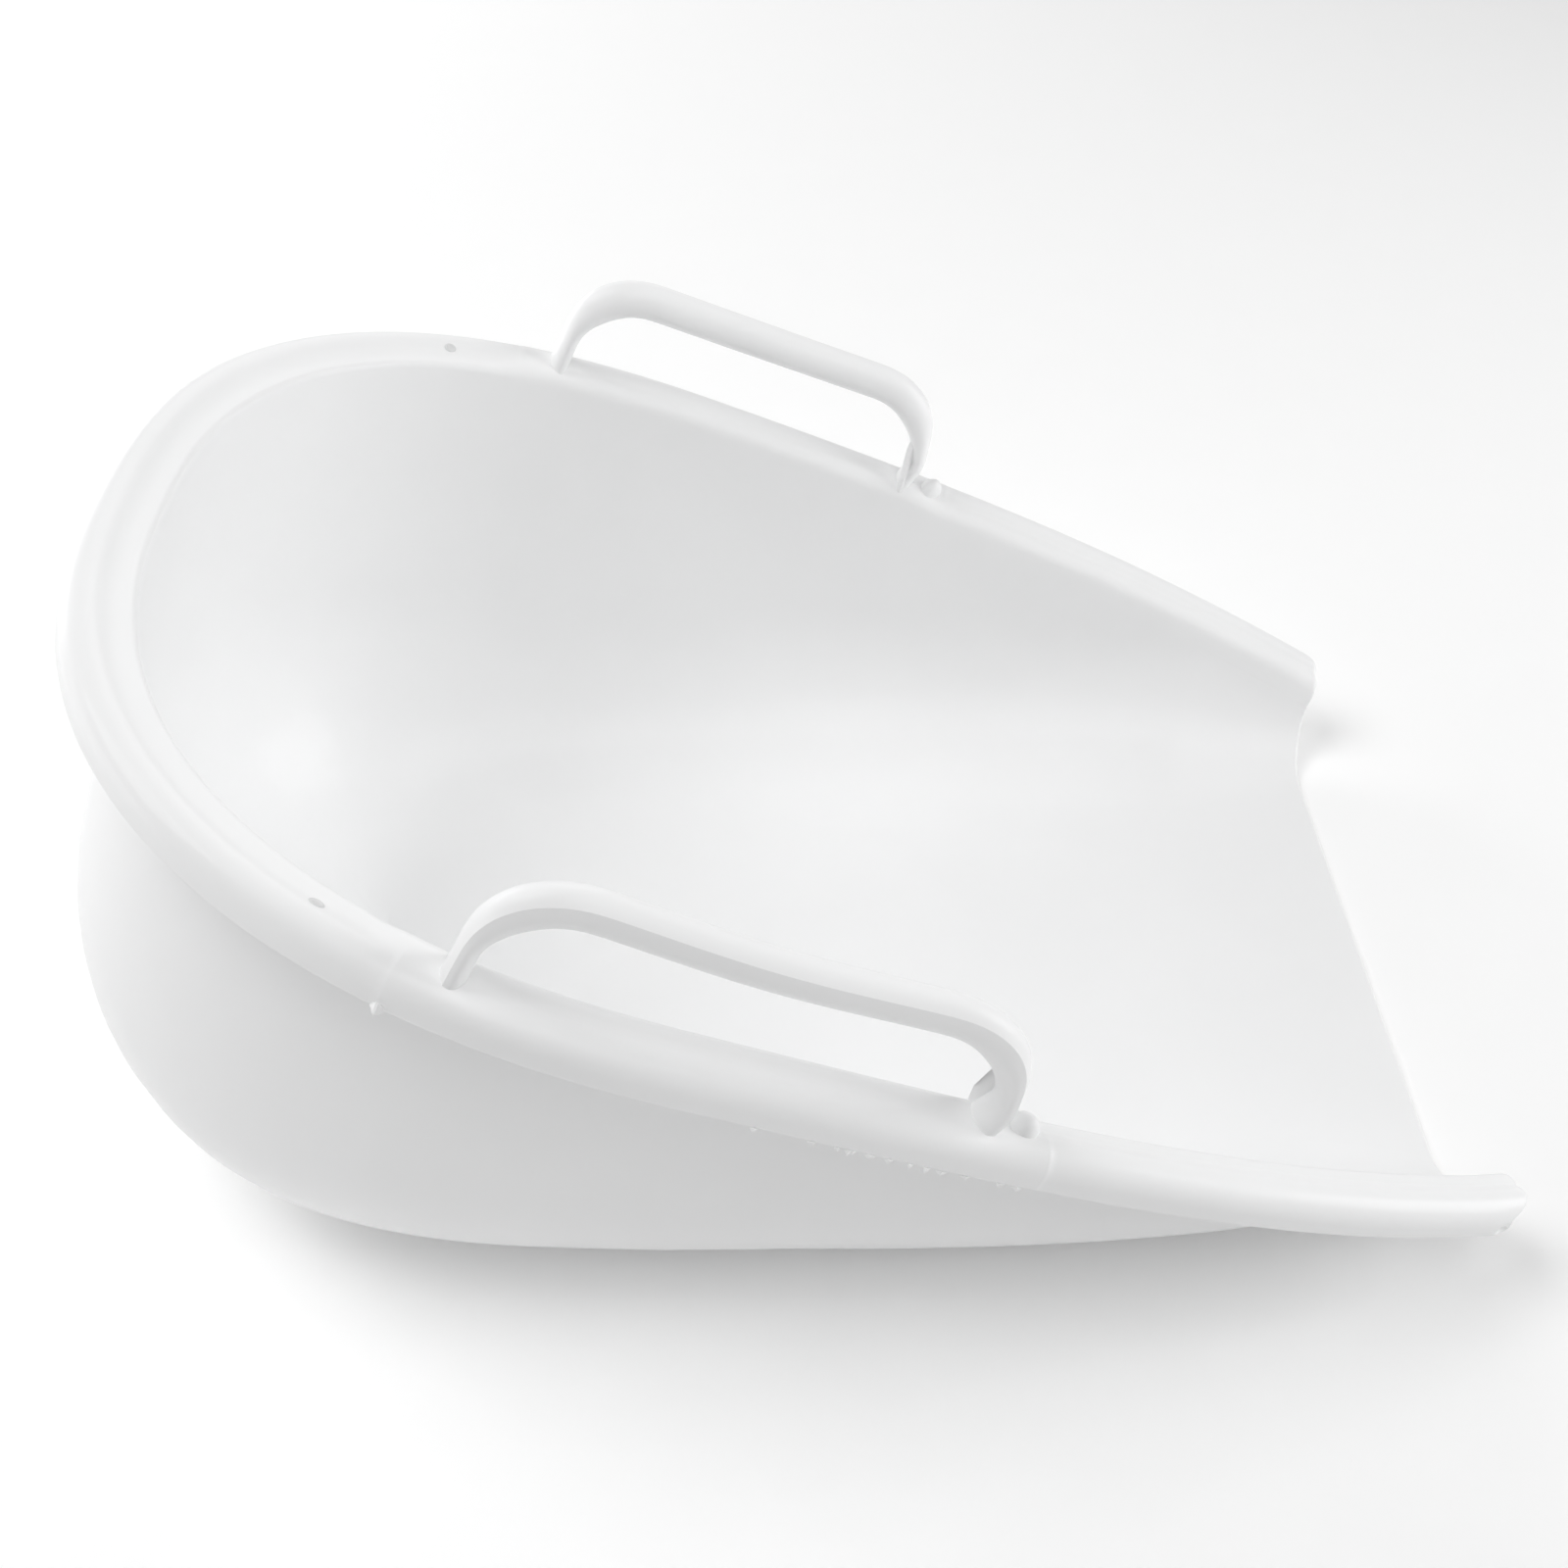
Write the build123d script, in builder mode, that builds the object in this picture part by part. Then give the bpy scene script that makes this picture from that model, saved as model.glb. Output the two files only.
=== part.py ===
from build123d import *
import math
import os

# Scoop bedpan, moulded in white polypropylene. +X is the low open front, -X the
# deep round back. The pan is symmetric about the XZ plane, its flat floor rests
# on Z = 0, and the origin is the middle of its footprint box.
# The rim lies in one plane that slopes down to the front, and the walls were
# drawn out of the mould square to that plane, so they lean back going down.

os.makedirs("parts", exist_ok=True)

# Driving dimensions, mm and degrees
overall_width = 285.0
rim_slope = 23.5
rim_back_height = 176.5        # rim plane above the floor, at the back edge
rim_length = 381.0             # along the rim plane, back edge to front tips
widest_station = 160.0         # from the back edge to the widest place
back_roundness = 2.4           # exponent of the superellipse behind that place
front_taper = 0.18             # share of the half width lost at the front tips
back_belly = 27.0              # the basin bulges this far behind the rim

wall = 3.0                     # moulded wall thickness everywhere
lip_top = 5.5                  # crest of the rolled lip above the rim plane
lip_bottom = 4.0               # lower edge of the lip below the rim plane
lip_round = 5.0                # outside radius over the lip
rim_width = 16.0               # from the outer edge to the basin's inner wall
bottom_radius = 56.0           # outside radius between wall and floor
wall_draft = 3.0

handle_rear = 103.0            # rear foot, along the rim from the back edge
handle_front = 227.5           # front foot
handle_inset = 8.0             # feet inward from the outer edge
handle_rod = 9.5               # rod diameter
handle_height = 33.5           # rim plane to the rod's centre line
handle_lean = 4.5              # outward, from square to the rim plane
rear_rake = 2.0                # rear leg's top ahead of its foot
front_rake = 11.0              # front leg's top behind its foot
handle_bend = 21.0             # centre-line radius of both corners
foot_depth = 2.5               # the rod's feet are let into the seat flange this far

# Construction lengths, all trimmed away
headroom = 90.0                # wall drawn on above the rim
footroom = 40.0                # and below the floor
back_steps = 6                 # outline points a side, behind the widest place
front_steps = 5                # and ahead of it, the last one past the front

half_width = overall_width / 2
slope = math.radians(rim_slope)
along_rim = Vector(math.cos(slope), 0, -math.sin(slope))
rim_normal = Vector(math.sin(slope), 0, math.cos(slope))
overall_length = back_belly + rim_length * math.cos(slope) + lip_top * math.sin(slope)
rim_back = Vector(back_belly - overall_length / 2, 0, rim_back_height)
rim_plane = Plane(rim_back, x_dir=along_rim, z_dir=rim_normal)
front_plane = Plane(rim_back + along_rim * rim_length, x_dir=(0, 1, 0), z_dir=along_rim)


def rim_half_width(station):
    """Half width of the rim's outer edge, a distance along it from the back."""
    if station < widest_station:
        back = 1 - station / widest_station
        return half_width * (1 - back**back_roundness) ** (1 / back_roundness)
    forward = (station - widest_station) / (rim_length - widest_station)
    return half_width * (1 - front_taper * forward**3)


def side_points(inset):
    """Points along one side of the rim line, from the back to past the front."""
    power = 2 / back_roundness
    points = []
    for step in range(1, back_steps + 1):
        angle = math.pi / 2 * step / back_steps
        station = widest_station - (widest_station - inset) * math.cos(angle) ** power
        points.append((station, (half_width - inset) * math.sin(angle) ** power))
    for step in range(1, front_steps + 1):
        forward = step / (front_steps - 1)
        station = widest_station + (rim_length - widest_station) * forward
        points.append((station, rim_half_width(station) - inset))
    return points


def rim_face(height, inset):
    """Face inside the rim's edge, moved inward and lifted along the rim normal."""
    side = side_points(inset)
    other = [(station, -width) for station, width in reversed(side)]
    with BuildSketch(rim_plane.offset(height)) as face:
        with BuildLine():
            edge = Spline(other + [(inset, 0)] + side)
            Line(edge @ 1, edge @ 0)
        make_face()
    return face.sketch


def basin(inset, floor_height, radius):
    """Drafted solid inside one wall surface, with a rounded flat bottom."""
    depth = rim_back_height / math.cos(slope) + footroom
    draft_run = math.tan(math.radians(wall_draft))
    with BuildPart() as solid:
        add(rim_face(headroom, inset - headroom * draft_run))
        add(rim_face(-depth, inset + depth * draft_run))
        loft(ruled=True)
        split(bisect_by=Plane.XY.offset(floor_height), keep=Keep.TOP)
        floor = solid.faces().sort_by(Axis.Z)[0]
        fillet(floor.edges().sort_by(Axis.X)[0], radius)
    return solid.part


cavity = basin(rim_width, wall, bottom_radius - wall)

# Basin: one shell with a flat floor, open at the top and at the front
with BuildPart() as bowl:
    add(basin(rim_width - wall, 0, bottom_radius))
    add(cavity, mode=Mode.SUBTRACT)
    split(bisect_by=rim_plane.offset(lip_top - wall), keep=Keep.BOTTOM)
    split(bisect_by=front_plane, keep=Keep.BOTTOM)

# Rim: flat seat flange and the lip rolled down along its outer edge
with BuildPart() as rim:
    add(rim_face(-lip_bottom, 0))
    extrude(amount=lip_top + lip_bottom, dir=tuple(rim_normal))
    crest = rim.edges().filter_by(GeomType.BSPLINE).sort_by(Axis(rim_back, rim_normal))[-1]
    fillet(crest, lip_round)
    add(rim_face(-lip_bottom, wall))
    extrude(amount=lip_top + lip_bottom - wall, dir=tuple(rim_normal), mode=Mode.SUBTRACT)
    add(cavity, mode=Mode.SUBTRACT)
    split(bisect_by=front_plane, keep=Keep.BOTTOM)


def handle(side):
    """U-shaped rod handle standing on the rim, side +1 for left, -1 for right."""
    feet = []
    for station in (handle_rear, handle_front):
        width = rim_half_width(station) - handle_inset
        feet.append(rim_plane.from_local_coords(Vector(station, side * width, 0)))
    span = feet[1] - feet[0]
    lean = math.radians(handle_lean)
    up = rim_normal * math.cos(lean) + Vector(0, side, 0) * math.sin(lean)
    handle_plane = Plane(feet[0], x_dir=span, z_dir=span.cross(up))
    with BuildPart() as rod:
        with BuildLine(handle_plane) as route:
            FilletPolyline(
                (0, 0),
                (rear_rake, handle_height),
                (span.length - front_rake, handle_height),
                (span.length, 0),
                radius=handle_bend,
            )
        with BuildSketch(Plane(route.line @ 0, z_dir=route.line % 0)):
            Circle(handle_rod / 2)
        sweep()
        split(bisect_by=rim_plane.offset(lip_top - foot_depth), keep=Keep.TOP)
        add(rim.part, mode=Mode.SUBTRACT)
    return rod


left_handle = handle(1)
right_handle = handle(-1)

bowl.part.label = "bowl"
rim.part.label = "rim"
left_handle.part.label = "left_handle"
right_handle.part.label = "right_handle"
for piece in (bowl, rim, left_handle, right_handle):
    export_step(piece.part, "parts/" + piece.part.label + ".step")
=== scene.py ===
import math
import random

import bmesh
import bpy
import numpy as np
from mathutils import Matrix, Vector


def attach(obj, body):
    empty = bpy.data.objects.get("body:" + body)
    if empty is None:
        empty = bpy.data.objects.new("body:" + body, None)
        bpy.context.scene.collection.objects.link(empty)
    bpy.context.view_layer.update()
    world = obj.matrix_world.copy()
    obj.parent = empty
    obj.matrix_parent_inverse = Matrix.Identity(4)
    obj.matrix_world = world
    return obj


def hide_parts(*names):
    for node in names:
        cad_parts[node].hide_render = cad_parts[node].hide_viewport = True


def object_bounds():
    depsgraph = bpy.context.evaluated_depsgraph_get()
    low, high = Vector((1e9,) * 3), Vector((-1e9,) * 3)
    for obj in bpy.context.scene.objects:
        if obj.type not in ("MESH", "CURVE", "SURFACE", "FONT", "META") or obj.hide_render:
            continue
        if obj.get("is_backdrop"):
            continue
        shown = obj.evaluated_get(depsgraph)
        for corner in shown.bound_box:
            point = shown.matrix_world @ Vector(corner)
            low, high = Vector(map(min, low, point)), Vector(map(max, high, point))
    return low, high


# A white moulded scoop bedpan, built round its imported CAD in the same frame.
# Lengths are in millimetres and angles in degrees until make_mesh turns them
# into metres. The rim lies in one sloping plane, so most of the shape is given
# as cross-sections square to that plane: an inset from the rim's outer edge
# and a height above the plane, at a station along it from the back.

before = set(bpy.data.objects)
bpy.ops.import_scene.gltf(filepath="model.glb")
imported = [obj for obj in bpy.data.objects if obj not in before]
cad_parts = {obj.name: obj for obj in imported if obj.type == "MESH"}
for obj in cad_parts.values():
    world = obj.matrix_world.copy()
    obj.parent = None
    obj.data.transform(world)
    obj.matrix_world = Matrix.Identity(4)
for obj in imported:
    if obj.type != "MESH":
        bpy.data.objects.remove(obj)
cad_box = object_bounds()

MM = 0.001
TINY = 0.001               # keeps a division by a length defined

# ---------------------------------------------------------------- rim outline
RIM_BACK = np.array((-162.3, 0.0, 176.5))   # back of the rim's edge
RIM_SLOPE = 23.5
RIM_LENGTH = 381.0
HALF_WIDTH = 142.5
WIDEST_STATION = 160.0
BACK_ROUNDNESS = 2.4
FRONT_TAPER = 0.18
RIM_CROWN = 2.5            # the rim bows up this much between back and tips
SQUARE_END = 70.0          # over this length the sections turn square to the tips
SQUARE_SHARE = 0.8         # and they are square after this share of it

# ---------------------------------------------------------------------- basin
WALL = 2.3
WALL_INSET = 14.1          # rim's edge to the outer face of the wall
DRAFT_STATIONS = (0.0, 155.0)
DRAFTS = (0.8, 4.3)        # the walls' lean inward going down, at those stations
RADIUS_STATIONS = (36.5, 182.5, 210.0, 381.0)
RADII = (72.5, 56.6, 56.6, 43.8)            # between wall and floor, outside
RADIUS_SHARE = 0.95        # the largest share of a low wall that its radius takes
MOUTH_LEAN = 0.12          # the basin's front edge runs forward this much going down
EDGE_ROUND = 1.1           # rounding of the front edge
SPLIT_HEIGHT = -6.0        # where the rim's mesh meets the basin's, below the plane

# --------------------------------------------------------------- seat and lip
LIP_RADIUS = 5.5           # outside radius of the rolled lip, and its height
CREST_START = 62.0         # the lip's round crest starts here, up from inward
LIP_MIDDLE = -1.3          # an extra point on the lip's straight side
LIP_BOTTOM = -4.0
LIP_EDGE = 0.7             # rounding of the lip's lower outer edge
SEAT = 3.3                 # height of the seat flange's flat top
SEAT_STATIONS = (56.0, 78.0, 93.0, 230.0, 300.0, 381.0)
SEAT_ROUNDS = (1.8, 2.2, 5.0, 5.0, 4.8, 5.4)  # rounding of the seat into the basin
WALL_MIDDLE = -2.4         # an extra point on the wall's inside, above the split

# The rim's underside from the lip to the wall, as insets and heights: the
# channel under the seat, and the solid ends that close it at the tips
CHANNEL = (
    (2.0, -4.0), (2.8, -3.5), (3.0, -2.5), (3.1, 0.6), (4.2, 1.9),
    (6.5, 2.2), (9.5, 1.0), (12.4, 0.3), (13.6, -0.1), (WALL_INSET, -1.0),
)
SOLID_END = (
    (2.0, -4.0), (3.0, -4.0), (4.5, -4.0), (6.0, -4.0), (7.5, -4.0),
    (9.0, -4.0), (10.3, -4.0), (12.0, -4.0), (13.4, -4.2), (WALL_INSET, -4.9),
)

# Two marks across the lip show where the mould's slide inserts ended. Between
# them the seat is higher and the lip stands proud
INSERT_START = 90.5
INSERT_END = 238.5
INSERT_STEP = 0.12         # how far the lip stands proud
INSERT_EDGE = 0.12         # half the length of the step at a mark
INSERT_SEAT = 5.1          # height of the seat there
INSERT_CREST_START = 82.0
INSERT_FADE = 14.0         # length over which the seat rises
INSERT_LEAD = 11.2         # it starts to rise this far behind the rear mark

# ----------------------------------------------------------------- front tips
TIP_PLAN = 8.0             # seen from above, the tips' outer corners are this round
TIP_DRAWN = 0.9            # share of that roundness the corners draw back
TIP_ROUND = 2.2
TIP_WALL = 3.5             # solid end that closes the lip's channel
TIP_STEP = 0.5             # from the last solid section to the channel
TIP_INSETS = (9.0, 13.0)   # between these the rounding eases to the basin's
TIP_HEIGHTS = (1.0, -2.0)  # and between these heights
ROUND_LEVELS = (0, 20, 40, 58, 74, 90)      # the sections round the front edge
FRONT_GAP = 0.8            # between that rounding and the next basin section

# -------------------------------------------------------------------- handles
HANDLE_REAR = 103.5
HANDLE_FRONT = 228.0
HANDLE_INSET = 9.2
HANDLE_HEIGHT = 34.5
HANDLE_LEAN = 2.4
REAR_RAKE = 2.0
FRONT_RAKE = 11.0
REAR_BEND = 21.0
FRONT_BEND = 22.0
HANDLE_SAG = 0.8
HANDLE_BOW = 1.5           # the rail bows outward with the rim
RAIL_REAR = 8.0            # the sag and bow start this far ahead of the rear foot
RAIL_FRONT = 16.0          # and end this far behind the front foot
FOOT_HOOK = 5.5            # the front leg's foot bends back this far
HOOK_HEIGHT = 15.0         # starting at this height
ROOT_HEIGHT = 2.2          # the rod's ends stop in the flange, above its underside
ROD_TALL = 5.55            # the rod's section is an oval with these half widths
ROD_SLIM = 4.6
ROD_TILT = 62.0            # its long axis, up from straight outward
SEAM_ANGLE = 40.0          # the mould's parting ridge, up from straight outward
SEAM_BREAK = 18.0          # half the turn of the surface at that ridge
LEG_THICKNESS = 0.53       # of the rod's, along the rim, where a leg meets the rim
LEG_BOTTOM = 14.0          # a leg is that thin below this height
LEG_RUN = 18.0             # and has the rod's thickness this much higher
FLARE_HEIGHT = 8.0         # a foot spreads below this height above the seat
FLARE_WIDE = 0.3           # across the rim
FLARE_LONG = 0.2           # along the rim
ROOT_FLARE_HEIGHT = 2.2    # and a little more close to the seat
ROOT_FLARE_WIDE = 0.3
ROOT_FLARE_LONG = 0.7
SKIRT = 0.3                # the foot's last ring drops this far into the seat
SKIRT_INWARD = 0.9         # and this much further on the basin's side
SKIRT_SPREAD = 1.5         # how soon it has dropped that far, going round inward

# --------------------------------------------------- small marks of the mould
NUB_AHEAD = 4.2            # of the front foot's middle
NUB_INWARD = 0.3
NUB_RISE = 0.4             # its widest ring above the seat
NUB_SIZE = (3.5, 3.9, 5.0)                  # half length, half width, height
NUB_LEAN = 0.8             # its top is this far ahead
NUB_OVAL = 0.08            # unevenness of its outline
NUB_TURN = 0.6             # radians
NUB_CORNERS = 0.05

WEB_OUTLINE = (            # along the rim, inward and up from the front foot
    (-8.0, 0.5, 22.0), (-10.8, 0.5, 24.5), (-10.2, 2.6, 16.5), (-9.2, 6.0, 8.5),
    (-8.4, 5.8, 2.6), (-5.4, 0.6, 2.6), (-3.5, 0.0, 3.0), (-4.0, 0.0, 12.0),
)
WEB_THICKNESS = 2.2
WEB_FACING = (0.8, 0.4)    # its other face lies ahead and inward in these shares
WEB_ROUND = 0.6

PIN_PLACES = ((70.5, -1), (67.0, 1))        # station and side of each mark
PIN_INSET = 9.2
PIN_HEIGHT = 4.42
PIN_FACING = 24.0          # the rim's surface there tips inward this much
PIN_OVAL = 0.85            # width over length
PIN_RINGS = (              # radius and lift: a dish, its raised edge, its buried rim
    (0.5, 0.04), (0.95, 0.07), (1.2, 0.2), (1.45, 0.26), (1.75, 0.1), (2.0, -0.4),
)

CHIP_STATIONS = (172, 185, 191, 194, 198.5, 203, 208, 212, 215.5, 221, 230, 234)
CHIP_LENGTHS = (1.4, 3.6)
CHIP_DROPS = (0.6, 1.3)    # below the lip's lower edge
CHIP_RISE = 0.3
CHIP_REACH = 1.3           # outward
CHIP_ENDS = 0.08           # share of the chip's swell cut off at each end
CHIP_TEAR = (0.6, 1.0)     # each section keeps a share between these
CHIP_ROOT_INSET = 1.3      # its root is let into the lip
CHIP_ROOT_HEIGHT = 0.35
CHIP_THICKNESS = 0.25
MARK_CHIP = (91.3, 3.4, 3.2, 0.9, 2.1)      # the one at the rear mark
CHIP_SEED = 4

# --------------------------------------------------------------- mesh density
EDGE_SPACING = 2.2         # between the cross-sections
SKIN_STEPS = 26            # up one wall surface, from the floor to the split
FLOOR_STEPS = 28           # across the floor
CUT_STEP = 0.002           # precision of the place where the split cuts an arc
BEND_STEPS = 16
ROUTE_POINTS = 150
ROUTE_EASING = 6           # rounds of smoothing where legs and bends meet
ROD_AROUND = 45
NUB_AROUND = 20
NUB_RINGS = 9
PIN_AROUND = 24
CHIP_STEPS = 6

# -------------------------------------------------------- materials and studio
WHITE = (0.94, 0.942, 0.944)
MOTTLE = 0.02              # how much darker the darkest flow marks are
PAPER_TONES = (0.955, 0.975)
FLOOR_HALF = 4000.0
FLOOR_CELLS = 8
FLOOR_HEIGHT = -0.4        # just under the pan
LAMP_AIM = (0.0, 0.0, 0.08)                 # lamps and camera are in metres
LAMPS = (
    ("low_front", (1.68, 0.0, 0.32), 14.0),
    ("low_left_behind", (-1.19, 1.19, 0.32), 10.0),
    ("low_left", (-1.68, 0.0, 0.32), 4.5),
    ("high_left", (-0.85, 0.0, 1.55), 12.5),
    ("high_near", (0.42, -0.74, 1.55), 7.2),
    ("from_behind", (0.0, 1.54, 0.80), 3.7),
)
LAMP_SIZE = 1.0
SMALL_LAMP_PLACE = (1.24, -0.05, 0.81)
SMALL_LAMP_AIM = (-0.15, 0.07, 0.02)
SMALL_LAMP_SIZE = 0.12
SMALL_LAMP_WATTS = 0.6
WORLD_STRENGTH = 0.2
CAMERA_PLACE = (0.0043, -0.3776, 0.4076)
CAMERA_AIM = (0.0222, 0.0629, 0.0365)
LENS_MM = 40.99
SENSOR_MM = 36.0
CAMERA_SHIFT = (-0.0390, -0.0221)

SLOPE = math.radians(RIM_SLOPE)
ALONG = np.array((math.cos(SLOPE), 0.0, -math.sin(SLOPE)))
NORMAL = np.array((math.sin(SLOPE), 0.0, math.cos(SLOPE)))
LATERAL = np.array((0.0, 1.0, 0.0))
RIGHT = np.array((1, -1, 1))


# ------------------------------------------------------------- mesh building
def make_mesh(name, vertices, faces, material, sharp=50.0):
    """Linked object from points in mm, smooth-shaded except at sharp edges."""
    mesh = bpy.data.meshes.new(name)
    points = np.asarray(vertices, dtype=float) * MM
    mesh.from_pydata(points.tolist(), [], [tuple(face) for face in faces])
    work = bmesh.new()
    work.from_mesh(mesh)
    bmesh.ops.recalc_face_normals(work, faces=work.faces)
    work.to_mesh(mesh)
    work.free()
    mesh.shade_smooth()
    mesh.set_sharp_from_angle(angle=math.radians(sharp))
    mesh.materials.append(material)
    piece = bpy.data.objects.new(name, mesh)
    bpy.context.scene.collection.objects.link(piece)
    return piece


def strip(first, second):
    """Quads between two rows of vertex numbers of the same length."""
    return [
        (first[i], first[i + 1], second[i + 1], second[i])
        for i in range(len(first) - 1)
    ]


def ring_strips(first, rings, around):
    """Quads of a tube whose rings of points follow each other from first."""
    faces = []
    for ring in range(rings - 1):
        start = first + ring * around
        here = [start + k % around for k in range(around + 1)]
        there = [start + around + k % around for k in range(around + 1)]
        faces += strip(here, there)
    return faces


def ring_cap(first, ring, around):
    """One face that closes a tube at a ring."""
    return tuple(first + ring * around + k for k in range(around))


def smooth(value):
    """Eased step from 0 to 1."""
    value = min(max(value, 0.0), 1.0)
    return value * value * (3 - 2 * value)


# ------------------------------------------------------------- the rim's edge
def edge_at(travel):
    """(station, half width, inward direction) of the left side's outer edge.

    travel runs 0 to 1 round the back, then 1 to 2 along the side to the tip.
    """
    if travel < 1:
        angle = travel * math.pi / 2
        power = 2 / BACK_ROUNDNESS
        ahead = math.cos(angle) ** power
        across = math.sin(angle) ** power
        station = WIDEST_STATION * (1 - ahead)
        width = HALF_WIDTH * across
        inward = np.array((
            ahead ** (BACK_ROUNDNESS - 1) / WIDEST_STATION,
            -(across ** (BACK_ROUNDNESS - 1)) / HALF_WIDTH,
        ))
    else:
        run = RIM_LENGTH - WIDEST_STATION
        forward = travel - 1
        station = WIDEST_STATION + run * forward
        width = HALF_WIDTH * (1 - FRONT_TAPER * forward**3)
        lean = -HALF_WIDTH * FRONT_TAPER * 3 * forward**2 / run
        inward = np.array((lean, -1.0))
    inward /= np.linalg.norm(inward)
    square = smooth((station - RIM_LENGTH + SQUARE_END) / (SQUARE_END * SQUARE_SHARE))
    inward = inward * (1 - square) + np.array((0.0, -1.0)) * square
    return station, width, inward / np.linalg.norm(inward)


def travel_to(station):
    """The travel value of a station along the side."""
    if station >= WIDEST_STATION:
        return 1 + (station - WIDEST_STATION) / (RIM_LENGTH - WIDEST_STATION)
    ahead = (1 - station / WIDEST_STATION) ** (BACK_ROUNDNESS / 2)
    return math.acos(ahead) / (math.pi / 2)


def even_travels(spacing):
    """Travel values at even distances round the left side, back to front."""
    dense = np.linspace(0, 2, 2001)
    points = np.array([edge_at(travel)[:2] for travel in dense])
    steps = np.linalg.norm(np.diff(points, axis=0), axis=1)
    distance = np.concatenate(([0], np.cumsum(steps)))
    count = int(distance[-1] / spacing)
    return np.interp(np.linspace(0, distance[-1], count + 1), distance, dense)


def place(edge, inset, height):
    """Point of the section at an edge point, from its inset and height."""
    station, width, inward = edge
    bow = RIM_CROWN * 4 * station / RIM_LENGTH * (1 - station / RIM_LENGTH)
    return (
        RIM_BACK
        + ALONG * (station + inward[0] * inset)
        + LATERAL * (width + inward[1] * inset)
        + NORMAL * (height + bow)
    )


# ------------------------------------------------------------ basin sections
def draft_at(station):
    """The wall's lean inward, as a slope against its height."""
    return math.tan(math.radians(float(np.interp(station, DRAFT_STATIONS, DRAFTS))))


def corner_arc(corner, up, level, radius):
    """The arc that rounds a corner: a function of the share along it, and its turn.

    level and up are the directions from the corner to where it starts and ends.
    """
    angle = math.acos(up @ level)
    reach = radius / math.tan(angle / 2)
    middle = (level + up) / np.linalg.norm(level + up)
    centre = corner + middle * radius / math.sin(angle / 2)
    low = corner + level * reach - centre
    high = corner + up * reach - centre
    turn = math.pi - angle

    def on_arc(part):
        spread = math.sin((1 - part) * turn) * low + math.sin(part * turn) * high
        return centre + spread / math.sin(turn)

    return on_arc, turn


def skin(edge, inside):
    """Points of one wall surface, from the floor up to the split line."""
    station, _, inward = edge
    start = place(edge, WALL_INSET + inside, 0)
    across = ALONG * inward[0] + LATERAL * inward[1]
    down = -NORMAL + across * draft_at(station)
    down /= np.linalg.norm(down)
    depth = (start[2] - inside) / -down[2]
    level = across * np.array((1, 1, 0))
    level /= np.linalg.norm(level)
    angle = math.acos(-down @ level)
    radius = float(np.interp(station, RADIUS_STATIONS, RADII)) - inside
    radius = min(radius, RADIUS_SHARE * depth * math.tan(angle / 2))
    on_arc, turn = corner_arc(start + down * depth, -down, level, radius)
    base = place(edge, 0, 0)
    cut = 1.0
    while (on_arc(cut) - base) @ NORMAL > SPLIT_HEIGHT:
        cut -= CUT_STEP
    top = start + down * (-SPLIT_HEIGHT) if cut == 1.0 else on_arc(cut)
    arc_length = cut * turn * radius
    wall_length = np.linalg.norm(top - on_arc(cut))
    points = []
    for step in range(SKIN_STEPS + 1):
        along = (arc_length + wall_length) * step / SKIN_STEPS
        if along < arc_length:
            points.append(on_arc(cut * along / arc_length))
        else:
            part = (along - arc_length) / max(wall_length, TINY)
            points.append(on_arc(cut) + (top - on_arc(cut)) * min(part, 1.0))
    return points


def basin_section(edge):
    """Inner skin upward, then outer skin downward."""
    return np.array(skin(edge, WALL) + skin(edge, 0.0)[::-1])


# -------------------------------------------------------------- rim sections
def arc(centre_inset, centre_height, radius, start, end, steps):
    """Inset and height pairs round an arc, angles in degrees from inward."""
    pairs = []
    for step in range(steps + 1):
        angle = math.radians(start + (end - start) * step / steps)
        pairs.append((
            centre_inset + radius * math.cos(angle),
            centre_height + radius * math.sin(angle),
        ))
    return pairs


def blend(start, start_angle, end, end_angle, steps):
    """Points of an eased curve between two arcs, without its own end points."""
    first = np.array(start)
    last = np.array(end)
    reach = np.linalg.norm(last - first)
    leave = reach * np.array((
        -math.sin(math.radians(start_angle)), math.cos(math.radians(start_angle))
    ))
    arrive = reach * np.array((
        -math.sin(math.radians(end_angle)), math.cos(math.radians(end_angle))
    ))
    pairs = []
    for step in range(1, steps):
        t = step / steps
        point = first * (1 - 3 * t**2 + 2 * t**3) + last * (3 * t**2 - 2 * t**3)
        point = point + leave * (t - 2 * t**2 + t**3) + arrive * (t**3 - t**2)
        pairs.append(tuple(point))
    return pairs


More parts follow.
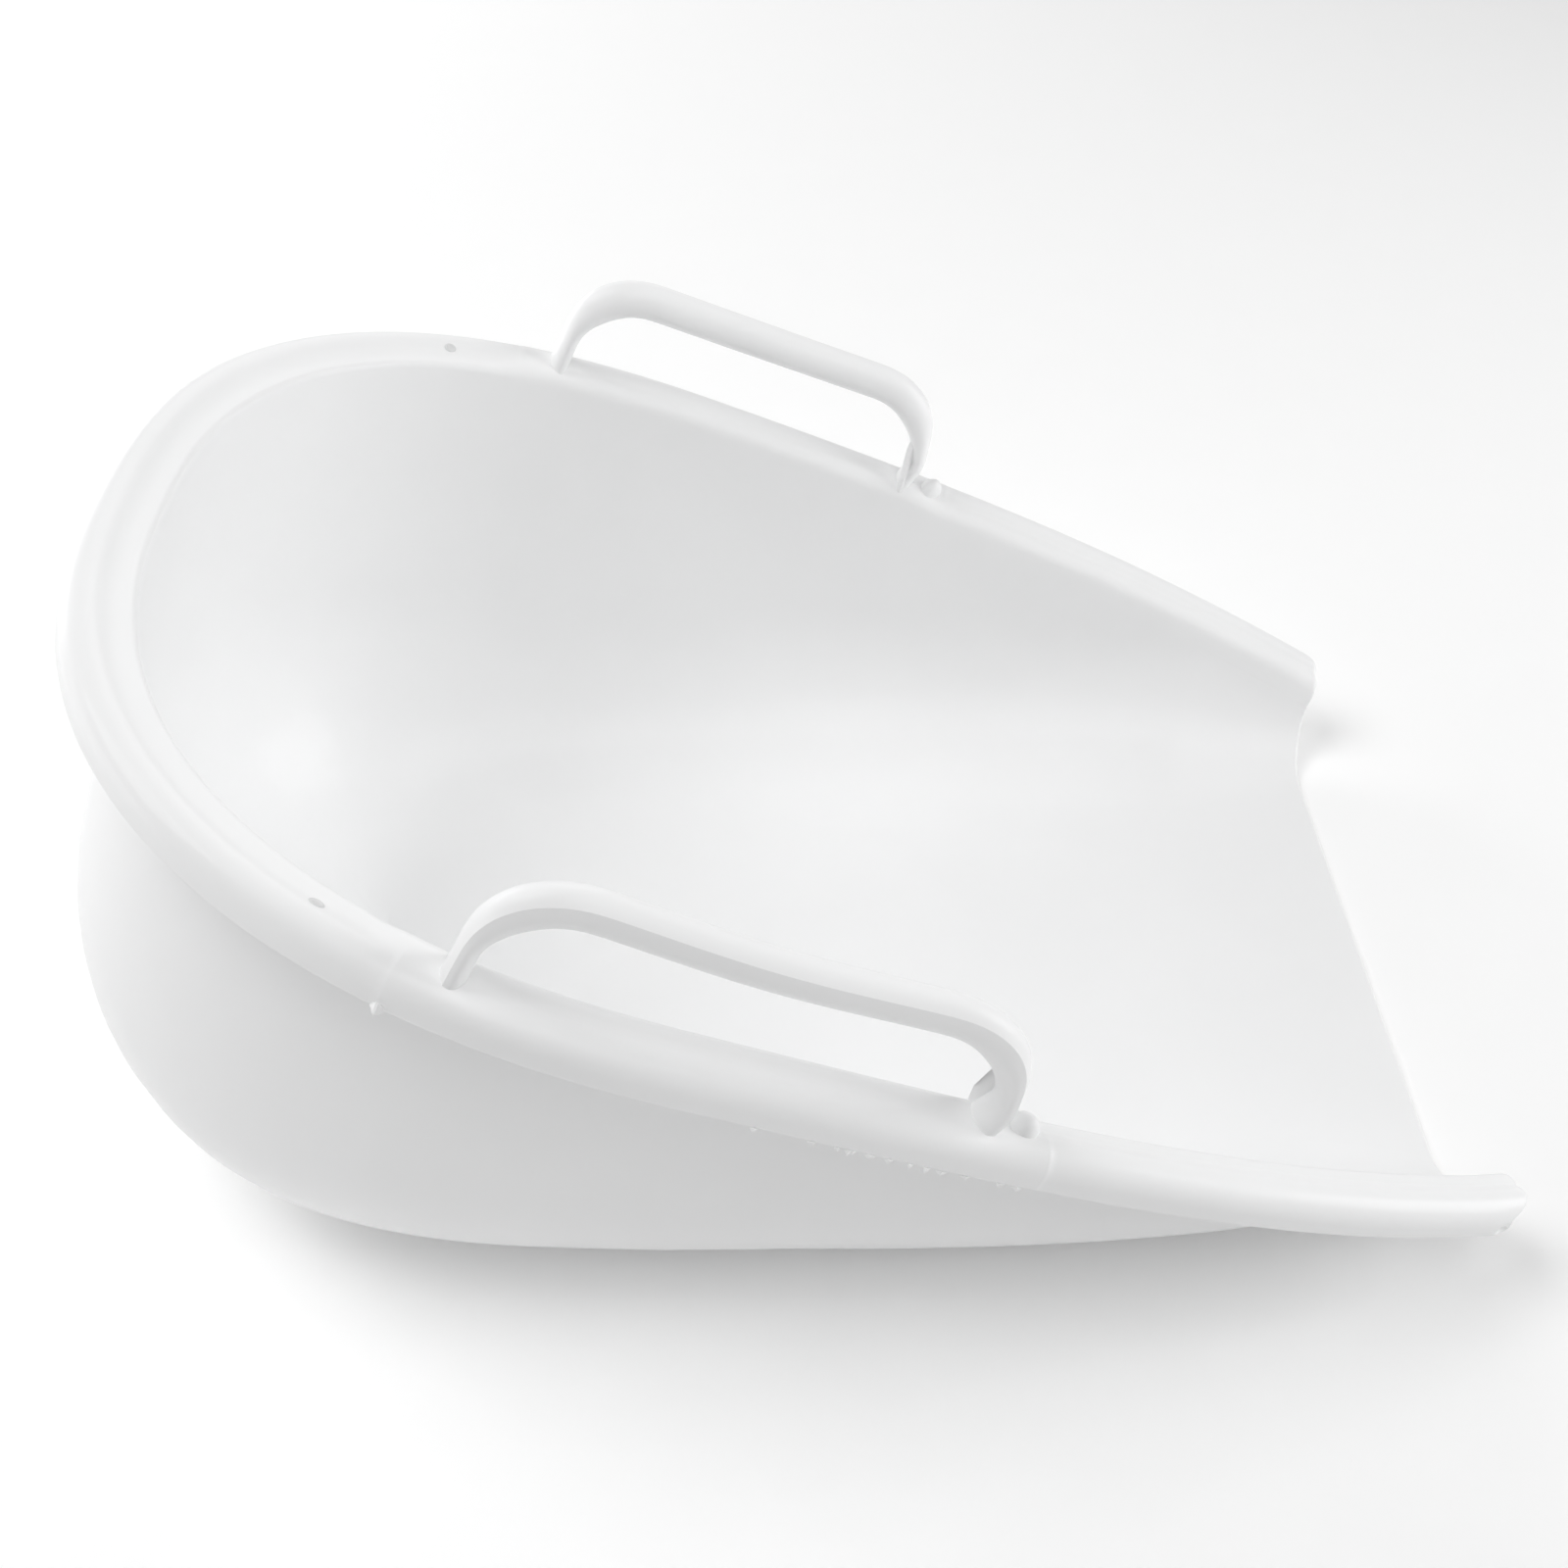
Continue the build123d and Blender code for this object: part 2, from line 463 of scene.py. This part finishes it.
def rim_profile(station, closed):
    """Closed section of the rim: over the seat and lip, then back underneath.

    closed fills the lip's channel, for the solid ends at the tips.
    """
    draft = draft_at(station)
    proud = INSERT_STEP if INSERT_START < station < INSERT_END else 0.0
    raised = smooth((station - INSERT_START + INSERT_LEAD) / INSERT_FADE)
    raised *= smooth((INSERT_END - station) / INSERT_FADE)
    seat_round = float(np.interp(station, SEAT_STATIONS, SEAT_ROUNDS))
    seat = SEAT + (INSERT_SEAT - SEAT) * raised
    crest_start = CREST_START + (INSERT_CREST_START - CREST_START) * raised
    inner = WALL_INSET + WALL
    pairs = [(inner - SPLIT_HEIGHT * draft, SPLIT_HEIGHT)]
    pairs += [(inner - WALL_MIDDLE * draft, WALL_MIDDLE)]
    pairs += arc(inner - seat_round, seat - seat_round, seat_round, 0, 90, steps=8)
    crest = arc(LIP_RADIUS, 0, LIP_RADIUS + proud, crest_start, 180, steps=14)
    pairs += blend(pairs[-1], 90, crest[0], crest_start, steps=6)
    pairs += crest
    pairs += [(-proud, LIP_MIDDLE)]
    pairs += arc(LIP_EDGE, LIP_BOTTOM + LIP_EDGE, LIP_EDGE + proud, 180, 270, steps=4)
    pairs += SOLID_END if closed else CHANNEL
    pairs += [(WALL_INSET - SPLIT_HEIGHT * draft, SPLIT_HEIGHT)]
    return pairs


def rim_section(edge, closed=False):
    """The rim's closed section at one edge point."""
    points = [place(edge, *pair) for pair in rim_profile(edge[0], closed)]
    points[0] = skin(edge, WALL)[-1]
    points[-1] = skin(edge, 0.0)[-1]
    return np.array(points)


# ------------------------------------------------------------- rounded front
def rounded_ends(section_of, rounding, loop):
    """Sections that round off the front end of a piece's left side.

    rounding gives each section point its own radius, and loop says whether
    the section closes on itself. The first returned section is the last one.
    """
    tip_edge = place(edge_at(2.0), 0, 0)
    ahead = []
    for point in section_of(RIM_LENGTH):
        depth = float((tip_edge - point) @ NORMAL)
        inset = float((tip_edge - point) @ LATERAL)
        corner = 1 - min(max(inset / TIP_PLAN, 0.0), 1.0)
        retreat = TIP_PLAN * (1 - math.sqrt(1 - corner**2))
        ahead.append(MOUTH_LEAN * max(0.0, depth + SPLIT_HEIGHT) - TIP_DRAWN * retreat)
    count = len(rounding)
    rows = []
    for level in ROUND_LEVELS:
        angle = math.radians(level)
        row = np.zeros((count, 3))
        for j in range(count):
            station = RIM_LENGTH - rounding[j] * (1 - math.sin(angle))
            station += ahead[j]
            section = section_of(station)
            before = section[j - 1] if loop or j > 0 else section[j]
            after = section[(j + 1) % count] if loop or j < count - 1 else section[j]
            tangent = (after - before) / np.linalg.norm(after - before)
            inside = np.cross(tangent, ALONG)
            row[j] = section[j] + inside * rounding[j] * (1 - math.cos(angle))
        rows.append(row)
    return rows[::-1]


def mirrored(section):
    """The same section on the right side."""
    return section * RIGHT


def full_run(sections):
    """Left tip to right tip, from the left side's sections, front to back."""
    return sections + [mirrored(section) for section in sections[-2::-1]]


def side_edges(stop):
    """Edge points of the left side from a station near the front to the back."""
    travels = list(even_travels(EDGE_SPACING))
    for mark in (INSERT_START, INSERT_END):
        travels += [travel_to(mark - INSERT_EDGE), travel_to(mark + INSERT_EDGE)]
    edges = [edge_at(travel) for travel in sorted(travels, reverse=True)]
    return [edge for edge in edges if edge[0] < stop]


# ---------------------------------------------------------- basin and rim
def floor_line(vertices, left, right):
    """Vertex numbers across the floor between two wall points, adding new ones."""
    start = vertices[left]
    end = vertices[right]
    line = [left]
    for step in range(1, FLOOR_STEPS):
        vertices.append(start + (end - start) * step / FLOOR_STEPS)
        line.append(len(vertices) - 1)
    line.append(right)
    return line


def make_basin(material):
    """Wall and floor shell, one closed mesh."""
    per_skin = SKIN_STEPS + 1
    width = 2 * per_skin

    def at(station):
        return basin_section(edge_at(travel_to(station)))

    front = rounded_ends(at, [EDGE_ROUND] * width, loop=False)
    edges = side_edges(RIM_LENGTH - EDGE_ROUND - FRONT_GAP)
    rows = full_run(front + [basin_section(edge) for edge in edges])
    vertices = [point for row in rows for point in row]
    faces = []
    for i in range(len(rows) - 1):
        here = list(range(i * width, (i + 1) * width))
        there = list(range((i + 1) * width, (i + 2) * width))
        faces += strip(here, there)
    last = len(rows) - 1
    centre = last // 2
    floor_fronts = []
    for column in (0, width - 1):
        line = floor_line(vertices, column, last * width + column)
        floor_fronts.append(line)
        for i in range(1, centre):
            previous = line
            line = floor_line(vertices, i * width + column, (last - i) * width + column)
            faces += strip(previous, line)
        back = centre * width + column
        faces += [(line[k], line[k + 1], back) for k in range(FLOOR_STEPS)]
    faces += strip(*floor_fronts)
    for row in (0, last):
        inner = [row * width + j for j in range(per_skin)]
        outer = [row * width + width - 1 - j for j in range(per_skin)]
        faces += strip(inner, outer)
    piece = make_mesh("basin", vertices, faces, material)
    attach(piece, "root")
    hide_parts("bowl")
    return piece


def tip_roundings(profile):
    """Rounding of each profile point at the tips, smaller beside the basin."""
    inset_run = TIP_INSETS[1] - TIP_INSETS[0]
    height_run = TIP_HEIGHTS[0] - TIP_HEIGHTS[1]
    rounding = []
    for inset, height in profile:
        near_wall = smooth((inset - TIP_INSETS[0]) / inset_run)
        near_wall *= smooth((TIP_HEIGHTS[0] - height) / height_run)
        rounding.append(TIP_ROUND + (EDGE_ROUND - TIP_ROUND) * near_wall)
    return rounding


def make_rim(material):
    """Seat flange and rolled lip, one closed mesh with solid rounded tips."""
    def at(station):
        return rim_section(edge_at(travel_to(station)), closed=True)

    profile = rim_profile(RIM_LENGTH, True)
    front = rounded_ends(at, tip_roundings(profile), loop=True)
    solid_start = RIM_LENGTH - TIP_PLAN - TIP_ROUND - TIP_WALL
    front.append(at(solid_start + TIP_STEP))
    rows = full_run(front + [rim_section(edge) for edge in side_edges(solid_start)])
    width = len(profile)
    vertices = [point for row in rows for point in row]
    faces = ring_strips(0, len(rows), width)
    faces.append(ring_cap(0, 0, width))
    faces.append(ring_cap(0, len(rows) - 1, width))
    piece = make_mesh("seat_rim", vertices, faces, material)
    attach(piece, "root")
    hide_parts("rim")
    return piece


# -------------------------------------------------------------------- handles
def bend_points(before, corner, after, bend):
    """Points along the arc that rounds a flat corner to the radius bend."""
    toward = (before - corner) / np.linalg.norm(before - corner)
    away = (after - corner) / np.linalg.norm(after - corner)
    on_arc, turn = corner_arc(corner, away, toward, bend)
    return [on_arc(step / BEND_STEPS) for step in range(BEND_STEPS + 1)]


def flat_route(span):
    """Even points of the handle's centre line: lengths along it, and heights."""
    rear = np.array((0.0, 0.0))
    rear_top = np.array((REAR_RAKE, HANDLE_HEIGHT))
    front_top = np.array((span - FRONT_RAKE, HANDLE_HEIGHT))
    front = np.array((span, 0.0))
    points = [rear]
    points += bend_points(rear, rear_top, front_top, REAR_BEND)
    points += bend_points(rear_top, front_top, front, FRONT_BEND)
    points.append(front)
    points = np.array(points)
    steps = np.linalg.norm(np.diff(points, axis=0), axis=1)
    distance = np.concatenate(([0], np.cumsum(steps)))
    even = np.linspace(0, distance[-1], ROUTE_POINTS)
    along = np.interp(even, distance, points[:, 0])
    height = np.interp(even, distance, points[:, 1])
    for _ in range(ROUTE_EASING):
        along[1:-1] = (along[:-2] + 2 * along[1:-1] + along[2:]) / 4
        height[1:-1] = (height[:-2] + 2 * height[1:-1] + height[2:]) / 4
    return along, height


def handle_route(side):
    """Centre line of a handle in space, its outward direction, and its heights."""
    feet = []
    for station in (HANDLE_REAR, HANDLE_FRONT):
        foot = place(edge_at(travel_to(station)), 0, 0)
        foot[1] -= HANDLE_INSET
        feet.append(foot)
    span = np.linalg.norm(feet[1] - feet[0])
    forward = (feet[1] - feet[0]) / span
    lean = math.radians(HANDLE_LEAN)
    up = NORMAL * math.cos(lean) + LATERAL * math.sin(lean)
    up -= forward * (up @ forward)
    up /= np.linalg.norm(up)
    along, height = flat_route(span)
    middle = np.clip((along - RAIL_REAR) / (span - RAIL_REAR - RAIL_FRONT), 0, 1)
    low = np.array([smooth(1 - h / HOOK_HEIGHT) for h in height])
    along -= FOOT_HOOK * low * (along > span / 2)
    height -= HANDLE_SAG * np.sin(middle * math.pi) ** 2 * (height > HANDLE_HEIGHT / 2)
    bow = HANDLE_BOW * np.sin(middle * math.pi) ** 2 * (height > HANDLE_HEIGHT / 2)
    route = [
        feet[0] + forward * a + up * h + LATERAL * b
        for a, h, b in zip(along, height, bow)
    ]
    outward = np.cross(up, forward)
    flip = np.array((1, side, 1))
    above = height > ROOT_HEIGHT
    return np.array(route)[above] * flip, outward * flip, height[above]


def rod_radius(angle):
    """Oval rod whose two mould halves meet in a ridge, angle from outward."""
    off = abs((angle - SEAM_ANGLE + 180) % 360 - 180)
    turn = math.radians(angle - ROD_TILT)
    radius = ROD_TALL * ROD_SLIM
    radius /= math.hypot(ROD_SLIM * math.cos(turn), ROD_TALL * math.sin(turn))
    if off >= SEAM_BREAK:
        return radius
    return radius / math.cos(math.radians(SEAM_BREAK - off))


def rod_ring(point, outward, across, height):
    """The rod's section at a point, thin and flared near the rim."""
    foot = max(0.0, 1 - (height - SEAT) / FLARE_HEIGHT)
    root = max(0.0, 1 - (height - SEAT) / ROOT_FLARE_HEIGHT)
    thin = LEG_THICKNESS + (1 - LEG_THICKNESS) * smooth((height - LEG_BOTTOM) / LEG_RUN)
    ring = []
    for k in range(ROD_AROUND):
        angle = 360 / ROD_AROUND * k
        radius = rod_radius(angle)
        spread = radius + FLARE_WIDE * foot**2 + ROOT_FLARE_WIDE * root**2
        narrow = radius * thin + FLARE_LONG * foot**2 + ROOT_FLARE_LONG * root**2
        wide = spread * math.cos(math.radians(angle))
        deep = narrow * math.sin(math.radians(angle))
        ring.append(point + outward * wide + across * deep)
    return np.array(ring)


def make_handle(name, node, side, material):
    """Rod with a parting ridge, spreading into the rim at both feet."""
    route, outward, height = handle_route(side)
    rows = []
    for i, point in enumerate(route):
        before = route[max(i - 1, 0)]
        after = route[min(i + 1, len(route) - 1)]
        tangent = (after - before) / np.linalg.norm(after - before)
        across = np.cross(tangent, outward) * side
        across /= np.linalg.norm(across)
        rows.append(rod_ring(point, outward, across, height[i]))
    drop = []
    for k in range(ROD_AROUND):
        inward = -math.cos(2 * math.pi * k / ROD_AROUND)
        drop.append(SKIRT + SKIRT_INWARD * smooth(inward * SKIRT_SPREAD))
    skirt = np.outer(drop, NORMAL)
    rows = [rows[0] - skirt] + rows + [rows[-1] - skirt]
    vertices = [point for row in rows for point in row]
    faces = ring_strips(0, len(rows), ROD_AROUND)
    faces.append(ring_cap(0, 0, ROD_AROUND))
    faces.append(ring_cap(0, len(rows) - 1, ROD_AROUND))
    piece = make_mesh(name, vertices, faces, material, sharp=35.0)
    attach(piece, "root")
    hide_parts(node)
    return piece


# ------------------------------------------------------ small marks of the mould
def foot_nub(name, side, material):
    """Small rounded lump of plastic in front of a handle's front foot."""
    edge = edge_at(travel_to(HANDLE_FRONT + NUB_AHEAD))
    centre = place(edge, HANDLE_INSET + NUB_INWARD, SEAT + NUB_RISE)
    half_length, half_width, tall = NUB_SIZE
    vertices = []
    for ring in range(NUB_RINGS):
        angle = math.pi / 2 * ring / NUB_RINGS
        up = math.sin(angle)
        for k in range(NUB_AROUND):
            turn = 2 * math.pi * k / NUB_AROUND
            lump = 1 + NUB_OVAL * math.sin(2 * turn + NUB_TURN)
            lump += NUB_CORNERS * math.cos(3 * turn)
            out = lump * math.cos(angle)
            ahead = half_length * out * math.cos(turn) + NUB_LEAN * up
            aside = half_width * out * math.sin(turn)
            vertices.append(centre + ALONG * ahead + LATERAL * aside + NORMAL * tall * up)
    vertices.append(centre + NORMAL * tall + ALONG * NUB_LEAN)
    faces = ring_strips(0, NUB_RINGS, NUB_AROUND)
    last = (NUB_RINGS - 1) * NUB_AROUND
    top = len(vertices) - 1
    faces += [
        (last + k, last + (k + 1) % NUB_AROUND, top)
        for k in range(NUB_AROUND)
    ]
    faces.append(ring_cap(0, 0, NUB_AROUND))
    points = np.array(vertices) * np.array((1, side, 1))
    piece = make_mesh(name, points, faces, material)
    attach(piece, "root")
    return piece


def foot_web(name, side, material):
    """Thin gusset from the back of a front leg to the seat's inner edge."""
    edge = edge_at(travel_to(HANDLE_FRONT))
    foot = place(edge, 0, 0) - LATERAL * HANDLE_INSET
    flip = np.array((1, side, 1))
    work = bmesh.new()
    rings = []
    for depth in (0.0, WEB_THICKNESS):
        ring = []
        for along, inward, up in WEB_OUTLINE:
            point = foot + ALONG * (along + WEB_FACING[0] * depth)
            point = point - LATERAL * (inward + WEB_FACING[1] * depth) + NORMAL * up
            ring.append(work.verts.new(point * flip))
        rings.append(ring)
    count = len(WEB_OUTLINE)
    for k in range(count):
        after = (k + 1) % count
        work.faces.new((rings[0][k], rings[0][after], rings[1][after], rings[1][k]))
    work.faces.new(rings[0])
    work.faces.new(rings[1][::-1])
    bmesh.ops.bevel(
        work, geom=work.edges[:], offset=WEB_ROUND, segments=3, profile=0.5, affect="EDGES"
    )
    work.verts.index_update()
    vertices = [tuple(vert.co) for vert in work.verts]
    faces = [[vert.index for vert in face.verts] for face in work.faces]
    work.free()
    piece = make_mesh(name, vertices, faces, material)
    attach(piece, "root")
    return piece


def pin_marks(material):
    """Shallow ringed marks that the ejector pins left on the rim."""
    vertices = []
    faces = []
    for station, side in PIN_PLACES:
        edge = edge_at(travel_to(station))
        centre = place(edge, PIN_INSET, PIN_HEIGHT)
        inward = ALONG * edge[2][0] + LATERAL * edge[2][1]
        turn = math.radians(PIN_FACING)
        up = NORMAL * math.cos(turn) + inward * math.sin(turn)
        flat = inward * math.cos(turn) - NORMAL * math.sin(turn)
        run = np.cross(up, flat)
        first = len(vertices)
        for radius, lift in PIN_RINGS:
            for k in range(PIN_AROUND):
                angle = 2 * math.pi * k / PIN_AROUND
                point = centre + up * lift
                point = point + flat * radius * PIN_OVAL * math.cos(angle)
                point = point + run * radius * math.sin(angle)
                vertices.append(point * np.array((1, side, 1)))
        faces += ring_strips(first, len(PIN_RINGS), PIN_AROUND)
        faces.append(ring_cap(first, 0, PIN_AROUND))
        faces.append(ring_cap(first, len(PIN_RINGS) - 1, PIN_AROUND))
    piece = make_mesh("pin_marks", vertices, faces, material)
    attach(piece, "root")
    return piece


def flash_chips(material):
    """Thin torn slivers of flash along the lip's lower edge on the right side."""
    chance = random.Random(CHIP_SEED)
    slivers = [MARK_CHIP]
    for station in CHIP_STATIONS:
        length = chance.uniform(*CHIP_LENGTHS)
        drop = chance.uniform(*CHIP_DROPS)
        slivers.append((station, length, CHIP_RISE, drop, CHIP_REACH))
    vertices = []
    faces = []
    for station, length, rise, drop, reach in slivers:
        first = len(vertices)
        for step in range(CHIP_STEPS + 1):
            part = step / CHIP_STEPS
            edge = edge_at(travel_to(station + length * (part - 0.5)))
            fade = math.sin(math.pi * (CHIP_ENDS + (1 - 2 * CHIP_ENDS) * part))
            fade *= chance.uniform(*CHIP_TEAR)
            low = LIP_BOTTOM - drop * fade
            out = LIP_EDGE - reach * fade
            section = (
                (CHIP_ROOT_INSET, LIP_BOTTOM + CHIP_ROOT_HEIGHT),
                (out, LIP_BOTTOM + rise * fade),
                (out - 0.1, low),
                (out + CHIP_THICKNESS, low - 0.05),
            )
            vertices += [place(edge, *pair) * RIGHT for pair in section]
        faces += ring_strips(first, CHIP_STEPS + 1, 4)
        faces.append(ring_cap(first, 0, 4))
        faces.append(ring_cap(first, CHIP_STEPS, 4))
    piece = make_mesh("flash_chips", vertices, faces, material, sharp=25.0)
    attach(piece, "root")
    return piece


# ----------------------------------------------------------------- materials
def noise(nodes, scale, detail):
    """Noise texture node."""
    node = nodes.new("ShaderNodeTexNoise")
    node.inputs["Scale"].default_value = scale
    node.inputs["Detail"].default_value = detail
    return node


def bump(nodes, strength, distance_m):
    """Bump node, its distance in metres."""
    node = nodes.new("ShaderNodeBump")
    node.inputs["Strength"].default_value = strength
    node.inputs["Distance"].default_value = distance_m
    return node


def moulded_plastic(name, roughness, shade=1.0):
    """White polypropylene: faint flow mottling, soft gloss, fine skin texture."""
    material = bpy.data.materials.new(name)
    material.use_nodes = True
    nodes = material.node_tree.nodes
    links = material.node_tree.links
    shader = nodes["Principled BSDF"]
    place_node = nodes.new("ShaderNodeTexCoord")
    flow = noise(nodes, 14.0, 3.0)
    flow.inputs["Distortion"].default_value = 0.6
    tint = nodes.new("ShaderNodeValToRGB")
    tint.color_ramp.elements[0].position = 0.3
    tint.color_ramp.elements[1].position = 0.72
    light = tuple(shade * channel for channel in WHITE)
    dark = tuple(channel * (1 - MOTTLE) for channel in light)
    tint.color_ramp.elements[0].color = (*dark, 1)
    tint.color_ramp.elements[1].color = (*light, 1)
    links.new(flow.outputs["Fac"], tint.inputs["Fac"])
    links.new(tint.outputs["Color"], shader.inputs["Base Color"])
    gloss = noise(nodes, 55.0, 4.0)
    spread = nodes.new("ShaderNodeMapRange")
    spread.inputs["To Min"].default_value = roughness - 0.05
    spread.inputs["To Max"].default_value = roughness + 0.06
    links.new(gloss.outputs["Fac"], spread.inputs["Value"])
    links.new(spread.outputs["Result"], shader.inputs["Roughness"])
    grain = noise(nodes, 1500.0, 2.0)
    wave = noise(nodes, 45.0, 2.0)
    for texture in (flow, gloss, grain, wave):
        links.new(place_node.outputs["Object"], texture.inputs["Vector"])
    fine = bump(nodes, 0.06, 0.0002)
    links.new(grain.outputs["Fac"], fine.inputs["Height"])
    broad = bump(nodes, 0.25, 0.0006)
    links.new(wave.outputs["Fac"], broad.inputs["Height"])
    links.new(fine.outputs["Normal"], broad.inputs["Normal"])
    links.new(broad.outputs["Normal"], shader.inputs["Normal"])
    shader.inputs["IOR"].default_value = 1.49
    shader.inputs["Specular IOR Level"].default_value = 0.15
    shader.inputs["Coat Weight"].default_value = 0.15
    shader.inputs["Coat Roughness"].default_value = 0.13
    return material


def floor_paper():
    """Pale seamless paper with a barely visible tooth."""
    material = bpy.data.materials.new("studio_paper")
    material.use_nodes = True
    nodes = material.node_tree.nodes
    links = material.node_tree.links
    shader = nodes["Principled BSDF"]
    shader.inputs["Roughness"].default_value = 0.9
    shader.inputs["Specular IOR Level"].default_value = 0.1
    shader.inputs["Emission Color"].default_value = (1, 1, 1, 1)
    shader.inputs["Emission Strength"].default_value = 0.07
    tooth = noise(nodes, 300.0, 2.0)
    tint = nodes.new("ShaderNodeValToRGB")
    for stop, tone in zip(tint.color_ramp.elements, PAPER_TONES):
        stop.color = (tone, tone, tone, 1)
    links.new(tooth.outputs["Fac"], tint.inputs["Fac"])
    links.new(tint.outputs["Color"], shader.inputs["Base Color"])
    return material


# --------------------------------------------------------------------- studio
def make_floor():
    """A large plain floor under the pan, not part of the object."""
    line = np.linspace(-FLOOR_HALF, FLOOR_HALF, FLOOR_CELLS + 1)
    vertices = [(x, y, FLOOR_HEIGHT) for y in line for x in line]
    per_row = FLOOR_CELLS + 1
    faces = []
    for row in range(FLOOR_CELLS):
        here = [row * per_row + k for k in range(per_row)]
        there = [(row + 1) * per_row + k for k in range(per_row)]
        faces += strip(here, there)
    floor = make_mesh("studio_floor", vertices, faces, floor_paper())
    floor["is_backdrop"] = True


def soft_light(name, place_m, aim_m, size_m, watts):
    """Square softbox aimed at a point, in metres."""
    lamp = bpy.data.lights.new(name, "AREA")
    lamp.shape = "SQUARE"
    lamp.size = size_m
    lamp.energy = watts
    light = bpy.data.objects.new(name, lamp)
    light.location = place_m
    aim = Vector(aim_m) - Vector(place_m)
    light.rotation_euler = aim.to_track_quat("-Z", "Y").to_euler()
    bpy.context.scene.collection.objects.link(light)
    return light


def light_studio():
    """Dim white surroundings, six broad lamps and a small one for the highlights."""
    world = bpy.data.worlds.new("studio")
    bpy.context.scene.world = world
    world.use_nodes = True
    background = world.node_tree.nodes["Background"]
    background.inputs["Color"].default_value = (1, 1, 1, 1)
    background.inputs["Strength"].default_value = WORLD_STRENGTH
    for name, place_m, watts in LAMPS:
        soft_light(name, place_m, LAMP_AIM, LAMP_SIZE, watts)
    soft_light(
        "small_lamp", SMALL_LAMP_PLACE, SMALL_LAMP_AIM, SMALL_LAMP_SIZE, SMALL_LAMP_WATTS
    )


def place_camera():
    """A camera above the near side, looking across the pan."""
    data = bpy.data.cameras.new("camera")
    data.lens = LENS_MM
    data.sensor_width = SENSOR_MM
    data.shift_x, data.shift_y = CAMERA_SHIFT
    data.clip_start = 0.01
    camera = bpy.data.objects.new("camera", data)
    camera.location = CAMERA_PLACE
    aim = Vector(CAMERA_AIM) - camera.location
    camera.rotation_euler = aim.to_track_quat("-Z", "Y").to_euler()
    bpy.context.scene.collection.objects.link(camera)
    bpy.context.scene.camera = camera


place_camera()
basin_plastic = moulded_plastic("basin_plastic", 0.4)
rim_plastic = moulded_plastic("rim_plastic", 0.4)
handle_plastic = moulded_plastic("handle_plastic", 0.38)
# A darker copy of the white plastic: painted shade inside the shallow pin-mark dishes
pin_shade_plastic = moulded_plastic("pin_shade_plastic", 0.45, shade=0.8)
make_basin(basin_plastic)
make_rim(rim_plastic)
make_handle("left_grip", "left_handle", 1, handle_plastic)
make_handle("right_grip", "right_handle", -1, handle_plastic)
foot_web("left_foot_web", 1, handle_plastic)
foot_web("right_foot_web", -1, handle_plastic)
# The pin marks take the darker plastic, whose darkness is painted shade
pin_marks(pin_shade_plastic)
flash_chips(rim_plastic)
foot_nub("left_foot_nub", 1, handle_plastic)
foot_nub("right_foot_nub", -1, handle_plastic)
make_floor()
light_studio()
bpy.context.scene.view_settings.view_transform = "Standard"

boxes = {"cad": cad_box, "visual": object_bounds()}
plain = {key: [list(map(float, corner)) for corner in box] for key, box in boxes.items()}
